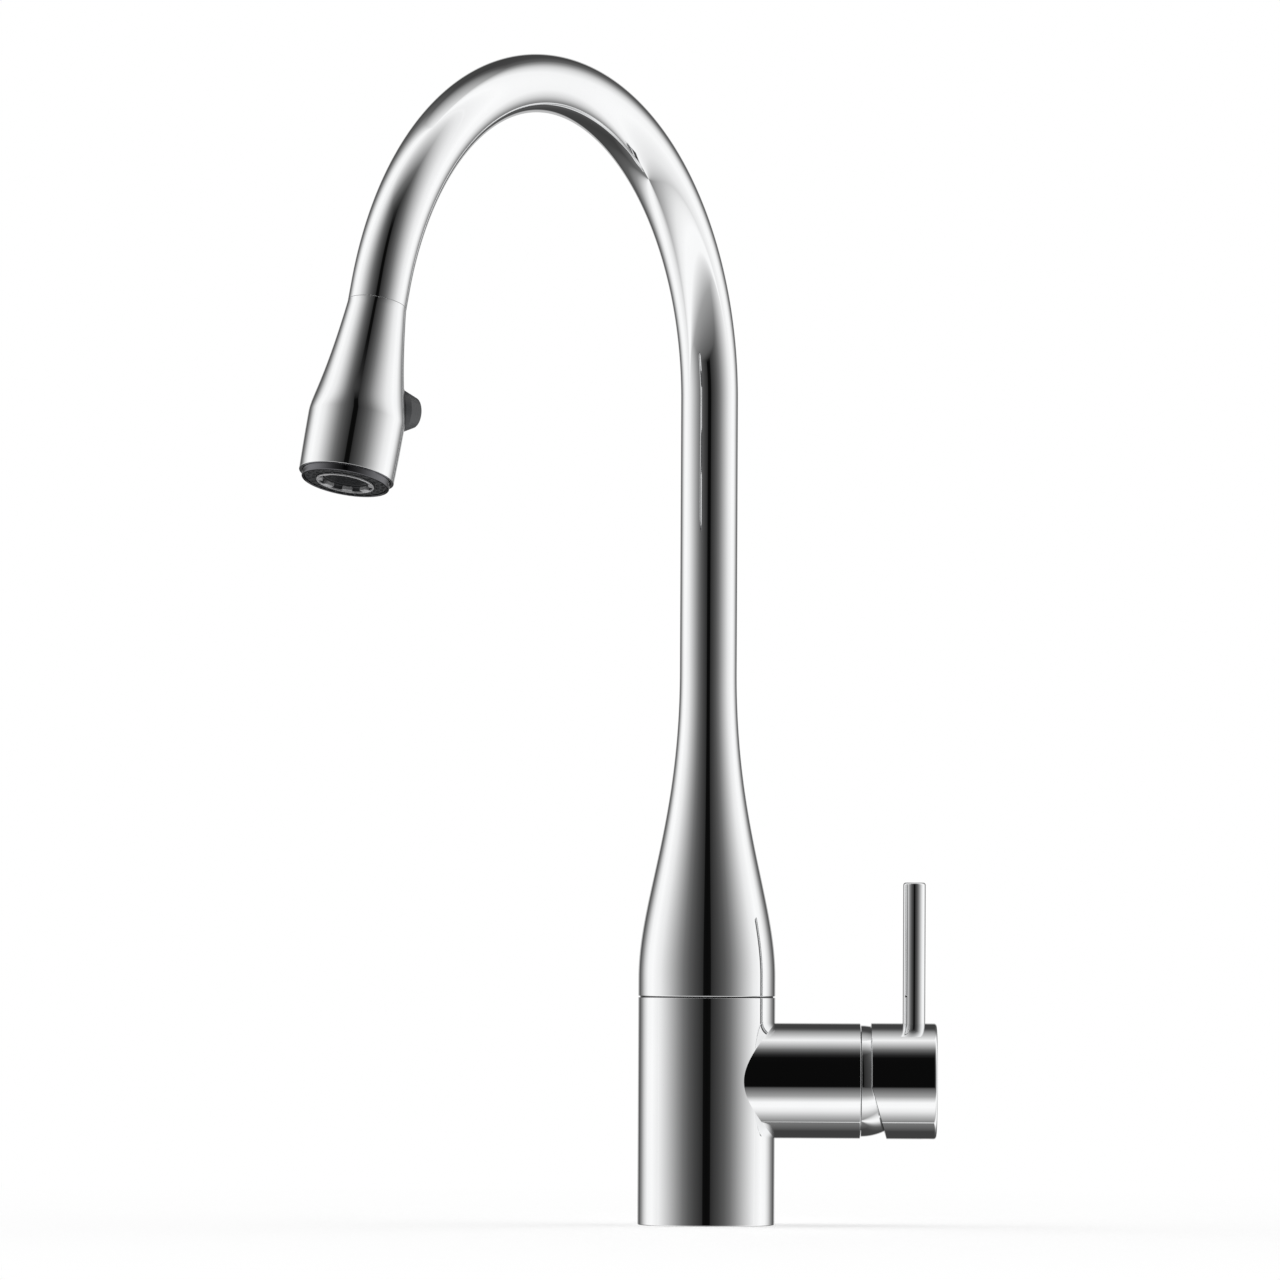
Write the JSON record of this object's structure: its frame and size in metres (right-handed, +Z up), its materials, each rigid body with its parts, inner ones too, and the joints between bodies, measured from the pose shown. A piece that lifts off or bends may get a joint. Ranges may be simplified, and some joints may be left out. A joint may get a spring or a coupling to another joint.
{
  "type": "pull-down kitchen faucet",
  "caption": "Single-lever kitchen faucet with a high arched swivel spout, a side lever, and a pull-down spray head that has a mode button and an aerated jet.",
  "frame": {"origin": "centre of the column's foot, on the worktop's top face", "axes": "+Z up along the column, +X towards the side lever, -Y is straight ahead towards the user; at rest the spout is swung 33 degrees from -Y towards -X"},
  "size_m": [0.2191, 0.2377, 0.536],
  "materials": {
    "chrome": "polished mirror chrome plate",
    "dark_chrome": "dark chrome, slightly satin",
    "satin_chrome": "satin chrome",
    "black_plastic": "moulded matt black",
    "button_plastic": "dark grey moulded plastic with a soft sheen",
    "grey_rubber": "dark grey silicone",
    "mesh_plastic": "dark moulded mesh",
    "black_rubber": "matt rubber",
    "brass": "machined brass",
    "copper": "drawn copper pipe",
    "zinc_steel": "zinc plated steel",
    "white_plastic": "moulded acetal",
    "grey_plastic": "moulded engineering plastic",
    "ceramic": "lapped alumina",
    "hose_braid": "grey braided nylon sleeve"
  },
  "bodies": {
    "base": {"column_body": "chrome", "foot_seal": "black_rubber", "threaded_shank": "brass", "deck_gasket": "black_rubber", "clamp_washer": "zinc_steel", "clamp_nut": "brass", "hot_inlet_pipe": "copper", "cold_inlet_pipe": "copper", "outlet_pipe": "copper", "hot_union": "brass", "cold_union": "brass", "outlet_coupler": "white_plastic", "cartridge_base": "white_plastic", "cartridge_port_seals": "black_rubber", "cartridge_housing": "white_plastic", "fixed_ceramic_disc": "ceramic", "cartridge_nut": "brass", "dome_cover": "chrome", "lower_glide_ring": "black_plastic"},
    "spout": {"spout_shell": "chrome", "upper_glide_ring": "white_plastic", "spout_lock_screw": "zinc_steel", "docking_collar": "black_plastic", "spray_hose": "hose_braid", "hose_lower_fitting": "brass"},
    "mixer_rotor": {"cartridge_rotor": "grey_plastic", "stem_pivot_pin": "zinc_steel"},
    "lever": {"lever_hub": "chrome", "lever_rod": "chrome", "cartridge_stem": "brass", "hub_grub_screw": "zinc_steel"},
    "ceramic_disc": {"moving_ceramic_disc": "ceramic", "disc_carrier": "grey_plastic"},
    "hose_end": {"hose_ferrule": "zinc_steel", "hose_insert": "brass"},
    "spray_head": {"spray_shell": "chrome", "docking_spigot": "black_plastic", "hose_swivel_nut": "brass", "hose_seal_washer": "black_rubber", "waterway_body": "grey_plastic", "check_valve": "white_plastic", "button_bezel": "black_plastic", "diverter_spring": "zinc_steel", "nozzle_ring": "dark_chrome", "spray_face": "grey_rubber", "face_seal": "black_rubber", "aerator_ring": "satin_chrome", "aerator_insert": "mesh_plastic"},
    "button": {"diverter_button": "button_plastic", "diverter_spool": "white_plastic", "spool_seals": "black_rubber"}
  },
  "joints": [
    {"name": "spout_swivel", "type": "hinge", "parent": "base", "child": "spout", "pos_m": [0, 0, 0.09], "axis": [0, 0, 1], "range_deg": [-87, 153]},
    {"name": "temperature_turn", "type": "hinge", "parent": "base", "child": "mixer_rotor", "pos_m": [0.054, 0, 0.0506], "axis": [1, 0, 0], "range_deg": [-50, 50]},
    {"name": "flow_tilt", "type": "hinge", "parent": "mixer_rotor", "child": "lever", "pos_m": [0.054, 0, 0.0506], "axis": [0, 1, 0], "range_deg": [0, 20]},
    {"name": "disc_slide", "type": "slide", "parent": "mixer_rotor", "child": "ceramic_disc", "axis": [0, 0, 1], "range_m": [0, 0.00524]},
    {"name": "head_pull", "type": "slide", "parent": "spout", "child": "hose_end", "axis": [-0.1592, -0.2452, -0.9563], "range_m": [0, 0.24], "deforming": ["spray_hose"]},
    {"name": "head_turn", "type": "hinge", "parent": "hose_end", "child": "spray_head", "pos_m": [-0.12262, -0.18882, 0.25515], "axis": [-0.1592, -0.2452, -0.9563], "continuous": true},
    {"name": "button_press", "type": "slide", "parent": "spray_head", "child": "button", "axis": [-0.8596, -0.5069, 0.0646], "range_m": [0, 0.0022], "stiffness_N_per_m": 500, "springref_m": -0.003, "deforming": ["diverter_spring"]}
  ],
  "couplings": [
    {"joint": "disc_slide", "follows": "flow_tilt", "m_per_rad": 0.015}
  ]
}
